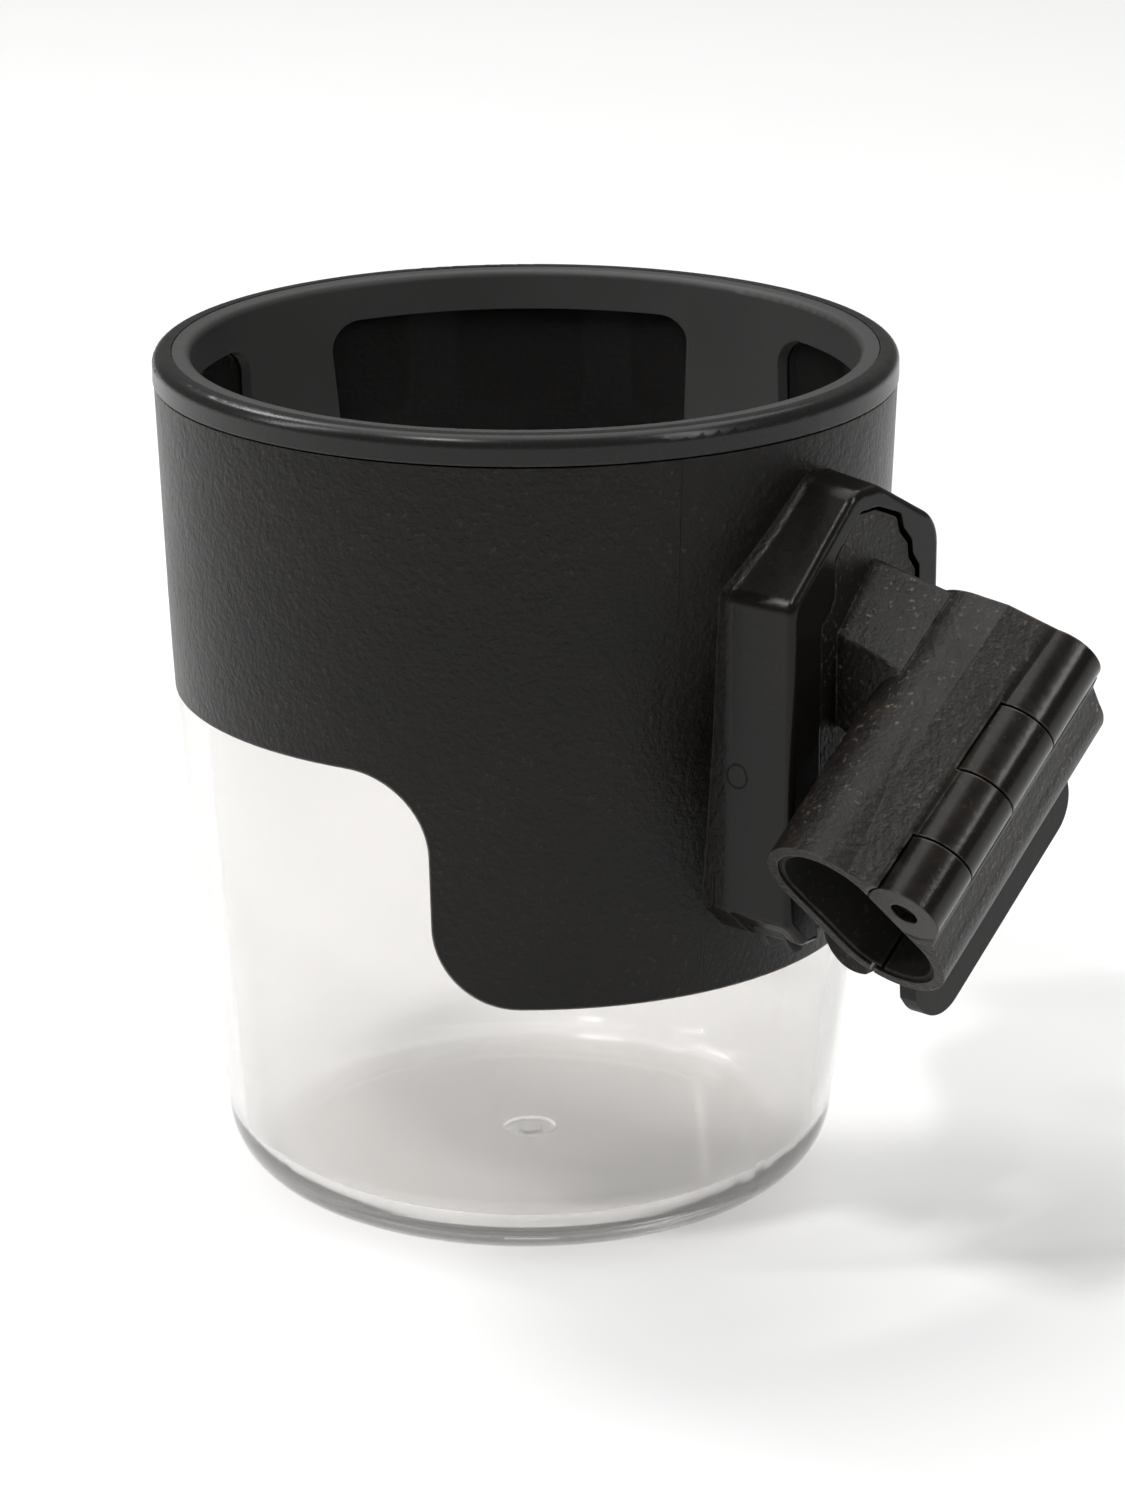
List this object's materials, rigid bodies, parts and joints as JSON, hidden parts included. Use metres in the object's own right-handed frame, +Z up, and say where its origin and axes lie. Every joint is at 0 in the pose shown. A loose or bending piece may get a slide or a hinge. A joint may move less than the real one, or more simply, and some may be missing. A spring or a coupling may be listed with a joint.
{
  "type": "clamp-on cup holder",
  "caption": "Clear-bottomed cup with a dark stepped sleeve and rim that slides on to the tongue of a hinged tube clamp with a flat lever.",
  "frame": {"origin": "centre of the cup's flat base", "axes": "+Z up out of the cup's mouth, +X from the cup towards the clamp, +Y along the boss's face so that the frame is right-handed"},
  "size_m": [0.1286, 0.094, 0.1095],
  "materials": {
    "clear": "clear polished",
    "sleeve_black": "fine-grained satin",
    "rim_black": "smooth satin",
    "liner_rubber": "matt",
    "clamp_nylon": "coarse grained",
    "lever_nylon": "fine grained",
    "pad_rubber": "rough matt",
    "pin_steel": "dark plated",
    "screw_steel": "zinc plated"
  },
  "bodies": {
    "clamp": {"clamp_body": "clamp_nylon", "hinge_pin": "pin_steel", "inner_pad": "pad_rubber"},
    "cup": {"clear_cup": "clear", "outer_sleeve": "sleeve_black", "rim_ring": "rim_black", "grip_liner": "liner_rubber", "receiver_channel": "rim_black", "receiver_screws": "screw_steel"},
    "jaw": {"clamp_jaw": "clamp_nylon", "outer_pad": "pad_rubber", "lever_pin": "pin_steel"},
    "lever": {"clamp_lever": "lever_nylon"},
    "finger": {"release_finger": "clamp_nylon"}
  },
  "joints": [
    {"name": "cup_slide", "type": "slide", "parent": "clamp", "child": "cup", "axis": [0, 0, 1], "range_m": [0, 0.055]},
    {"name": "jaw_hinge", "type": "hinge", "parent": "clamp", "child": "jaw", "pos_m": [0.077, -0.00572, 0.06955], "axis": [0, -0.788, -0.6157], "range_deg": [0, 60]},
    {"name": "lever_hinge", "type": "hinge", "parent": "jaw", "child": "lever", "pos_m": [0.0675, 0.00789, 0.05214], "axis": [0, -0.788, -0.6157], "range_deg": [0, 80]},
    {"name": "finger_press", "type": "hinge", "parent": "clamp", "child": "finger", "pos_m": [0.0529, 0, 0.069], "axis": [0, 1, 0], "range_deg": [0, 4], "stiffness_Nm_per_rad": 0.8}
  ]
}
